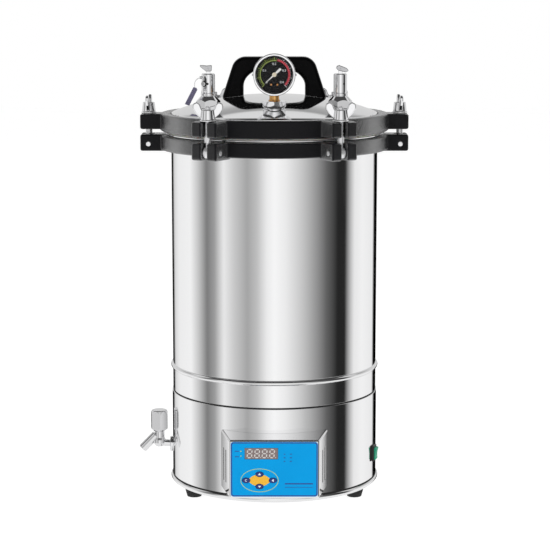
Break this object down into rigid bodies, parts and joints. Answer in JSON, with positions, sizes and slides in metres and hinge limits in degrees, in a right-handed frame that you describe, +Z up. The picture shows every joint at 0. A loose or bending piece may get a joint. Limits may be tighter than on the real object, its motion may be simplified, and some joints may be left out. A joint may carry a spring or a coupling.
{
  "type": "benchtop autoclave",
  "caption": "Upright steam steriliser: polished steel barrel, black flanges with swing-bolt clamps, domed lid with gauge, valves and handle, and a blue control panel.",
  "frame": {"origin": "on the vessel's axis, on the floor under the feet", "axes": "+Z up along the vessel's axis, -Y to the front where the control panel is, +X to the side with the rocker switch"},
  "size_m": [0.4014, 0.3724, 0.6555],
  "materials": {
    "mirror_steel": "mirror-polished stainless steel sheet",
    "satin_steel": "satin stainless steel",
    "chrome": "bright chrome plate",
    "black_enamel": "black wrinkle paint on cast iron",
    "black_phenolic": "moulded black phenolic",
    "black_rubber": "matt rubber",
    "silicone": "translucent white silicone",
    "blue_film": "printed polyester film",
    "navy_key": "domed key film",
    "smoked_display": "smoked display window",
    "white_enamel": "white enamel",
    "clear_glass": "clear flat glass",
    "grey_tag": "printed strip",
    "green_rocker": "translucent green",
    "black_plastic": "moulded black plastic"
  },
  "bodies": {
    "base": {"vessel": "mirror_steel", "lower_flange": "black_enamel", "base_jacket": "mirror_steel", "base_plate": "satin_steel", "foot_front_left": "black_rubber", "foot_front_right": "black_rubber", "foot_rear": "black_rubber", "heater_element": "satin_steel", "support_grid": "satin_steel", "control_box": "mirror_steel", "control_overlay": "blue_film", "display_window": "smoked_display", "tap_body": "chrome", "switch_bezel": "black_plastic", "power_gland": "black_plastic", "hinge_pin_1": "chrome", "hinge_pin_2": "chrome", "hinge_pin_3": "chrome", "hinge_pin_4": "chrome", "hinge_pin_5": "chrome", "hinge_pin_6": "chrome"},
    "lid": {"lid_dome": "mirror_steel", "upper_flange": "black_enamel", "gasket": "silicone", "lid_handle": "black_phenolic", "gauge_nut": "chrome", "gauge_case": "chrome", "gauge_lens": "clear_glass", "safety_valve_body": "chrome", "release_valve_body": "chrome", "seal_tag": "grey_tag"},
    "needle": {"gauge_needle": "white_enamel"},
    "safety_lever": {"safety_valve_lever": "chrome"},
    "release_lever": {"release_valve_lever": "chrome"},
    "knob": {"tap_knob": "chrome"},
    "rocker": {"switch_rocker": "green_rocker"},
    "key_up": {"button_up": "navy_key"},
    "key_down": {"button_down": "navy_key"},
    "key_cycle": {"button_cycle": "navy_key"},
    "key_shift": {"button_shift": "navy_key"},
    "bucket": {"bucket": "satin_steel"},
    "bail": {"bucket_bail": "satin_steel"},
    "bolt_1": {"swing_bolt_1": "chrome"},
    "washer_1": {"clamp_washer_1": "chrome"},
    "nut_1": {"wing_nut_1": "chrome"},
    "bolt_2": {"swing_bolt_2": "chrome"},
    "washer_2": {"clamp_washer_2": "chrome"},
    "nut_2": {"wing_nut_2": "chrome"},
    "bolt_3": {"swing_bolt_3": "chrome"},
    "washer_3": {"clamp_washer_3": "chrome"},
    "nut_3": {"wing_nut_3": "chrome"},
    "bolt_4": {"swing_bolt_4": "chrome"},
    "washer_4": {"clamp_washer_4": "chrome"},
    "nut_4": {"wing_nut_4": "chrome"},
    "bolt_5": {"swing_bolt_5": "chrome"},
    "washer_5": {"clamp_washer_5": "chrome"},
    "nut_5": {"wing_nut_5": "chrome"},
    "bolt_6": {"swing_bolt_6": "chrome"},
    "washer_6": {"clamp_washer_6": "chrome"},
    "nut_6": {"wing_nut_6": "chrome"}
  },
  "joints": [
    {"name": "lid_lift", "type": "slide", "parent": "base", "child": "lid", "axis": [0, 0, 1], "range_m": [0, 0.6]},
    {"name": "bucket_lift", "type": "slide", "parent": "base", "child": "bucket", "axis": [0, 0, 1], "range_m": [0, 0.3301]},
    {"name": "bail_swing", "type": "hinge", "parent": "bucket", "child": "bail", "pos_m": [0, 0, 0.485], "axis": [1, 0, 0], "range_deg": [0, 90.1]},
    {"name": "bolt_swing_1", "type": "hinge", "parent": "base", "child": "bolt_1", "pos_m": [0.185, 0, 0.519], "axis": [0, 1, 0], "range_deg": [0, 175]},
    {"name": "washer_slide_1", "type": "slide", "parent": "bolt_1", "child": "washer_1", "axis": [0, 0, 1], "range_m": [0, 0.0121]},
    {"name": "nut_spin_1", "type": "hinge", "parent": "washer_1", "child": "nut_1", "pos_m": [0.185, 0, 0.572], "axis": [0, 0, 1], "range_deg": [0, 3456]},
    {"name": "bolt_swing_2", "type": "hinge", "parent": "base", "child": "bolt_2", "pos_m": [0.0925, 0.16021, 0.519], "axis": [-0.866, 0.5, 0], "range_deg": [0, 175]},
    {"name": "washer_slide_2", "type": "slide", "parent": "bolt_2", "child": "washer_2", "axis": [0, 0, 1], "range_m": [0, 0.0121]},
    {"name": "nut_spin_2", "type": "hinge", "parent": "washer_2", "child": "nut_2", "pos_m": [0.0925, 0.16021, 0.572], "axis": [0, 0, 1], "range_deg": [0, 3456]},
    {"name": "bolt_swing_3", "type": "hinge", "parent": "base", "child": "bolt_3", "pos_m": [-0.0925, 0.16021, 0.519], "axis": [-0.866, -0.5, 0], "range_deg": [0, 175]},
    {"name": "washer_slide_3", "type": "slide", "parent": "bolt_3", "child": "washer_3", "axis": [0, 0, 1], "range_m": [0, 0.0121]},
    {"name": "nut_spin_3", "type": "hinge", "parent": "washer_3", "child": "nut_3", "pos_m": [-0.0925, 0.16021, 0.572], "axis": [0, 0, 1], "range_deg": [0, 3456]},
    {"name": "bolt_swing_4", "type": "hinge", "parent": "base", "child": "bolt_4", "pos_m": [-0.185, 0, 0.519], "axis": [0, -1, 0], "range_deg": [0, 175]},
    {"name": "washer_slide_4", "type": "slide", "parent": "bolt_4", "child": "washer_4", "axis": [0, 0, 1], "range_m": [0, 0.0121]},
    {"name": "nut_spin_4", "type": "hinge", "parent": "washer_4", "child": "nut_4", "pos_m": [-0.185, 0, 0.572], "axis": [0, 0, 1], "range_deg": [0, 3456]},
    {"name": "bolt_swing_5", "type": "hinge", "parent": "base", "child": "bolt_5", "pos_m": [-0.0925, -0.16021, 0.519], "axis": [0.866, -0.5, 0], "range_deg": [0, 175]},
    {"name": "washer_slide_5", "type": "slide", "parent": "bolt_5", "child": "washer_5", "axis": [0, 0, 1], "range_m": [0, 0.0121]},
    {"name": "nut_spin_5", "type": "hinge", "parent": "washer_5", "child": "nut_5", "pos_m": [-0.0925, -0.16021, 0.572], "axis": [0, 0, 1], "range_deg": [0, 3456]},
    {"name": "bolt_swing_6", "type": "hinge", "parent": "base", "child": "bolt_6", "pos_m": [0.0925, -0.16021, 0.519], "axis": [0.866, 0.5, 0], "range_deg": [0, 175]},
    {"name": "washer_slide_6", "type": "slide", "parent": "bolt_6", "child": "washer_6", "axis": [0, 0, 1], "range_m": [0, 0.0121]},
    {"name": "nut_spin_6", "type": "hinge", "parent": "washer_6", "child": "nut_6", "pos_m": [0.0925, -0.16021, 0.572], "axis": [0, 0, 1], "range_deg": [0, 3456]},
    {"name": "needle_turn", "type": "hinge", "parent": "lid", "child": "needle", "pos_m": [0, -0.116, 0.6255], "axis": [0, 1, 0], "range_deg": [0, 270], "stiffness_Nm_per_rad": 0.0005},
    {"name": "safety_lever_lift", "type": "hinge", "parent": "lid", "child": "safety_lever", "pos_m": [-0.09526, -0.055, 0.631], "axis": [0, 1, 0], "range_deg": [0, 50], "stiffness_Nm_per_rad": 0.02},
    {"name": "release_lever_flip", "type": "hinge", "parent": "lid", "child": "release_lever", "pos_m": [0.09526, -0.055, 0.631], "axis": [0, -1, 0], "range_deg": [0, 85]},
    {"name": "tap_turn", "type": "hinge", "parent": "base", "child": "knob", "pos_m": [-0.1738, 0, 0.09], "axis": [0, 0, 1], "range_deg": [0, 90]},
    {"name": "rocker_tip", "type": "hinge", "parent": "base", "child": "rocker", "pos_m": [0.14727, -0.04223, 0.059], "axis": [0.2756, 0.9613, 0], "range_deg": [-10, 0]},
    {"name": "press_up", "type": "slide", "parent": "base", "child": "key_up", "axis": [0, 1, 0], "range_m": [0, 0.0005], "stiffness_N_per_m": 800},
    {"name": "press_down", "type": "slide", "parent": "base", "child": "key_down", "axis": [0, 1, 0], "range_m": [0, 0.0005], "stiffness_N_per_m": 800},
    {"name": "press_cycle", "type": "slide", "parent": "base", "child": "key_cycle", "axis": [0, 1, 0], "range_m": [0, 0.0005], "stiffness_N_per_m": 800},
    {"name": "press_shift", "type": "slide", "parent": "base", "child": "key_shift", "axis": [0, 1, 0], "range_m": [0, 0.0005], "stiffness_N_per_m": 800}
  ],
  "couplings": [
    {"joint": "bucket_lift", "follows": "lid_lift", "ratio": 0.55},
    {"joint": "bail_swing", "follows": "lid_lift", "rad_per_m": 2.617},
    {"joint": "washer_slide_1", "follows": "nut_spin_1", "m_per_rad": 0.00019894},
    {"joint": "washer_slide_2", "follows": "nut_spin_2", "m_per_rad": 0.00019894},
    {"joint": "washer_slide_3", "follows": "nut_spin_3", "m_per_rad": 0.00019894},
    {"joint": "washer_slide_4", "follows": "nut_spin_4", "m_per_rad": 0.00019894},
    {"joint": "washer_slide_5", "follows": "nut_spin_5", "m_per_rad": 0.00019894},
    {"joint": "washer_slide_6", "follows": "nut_spin_6", "m_per_rad": 0.00019894}
  ]
}
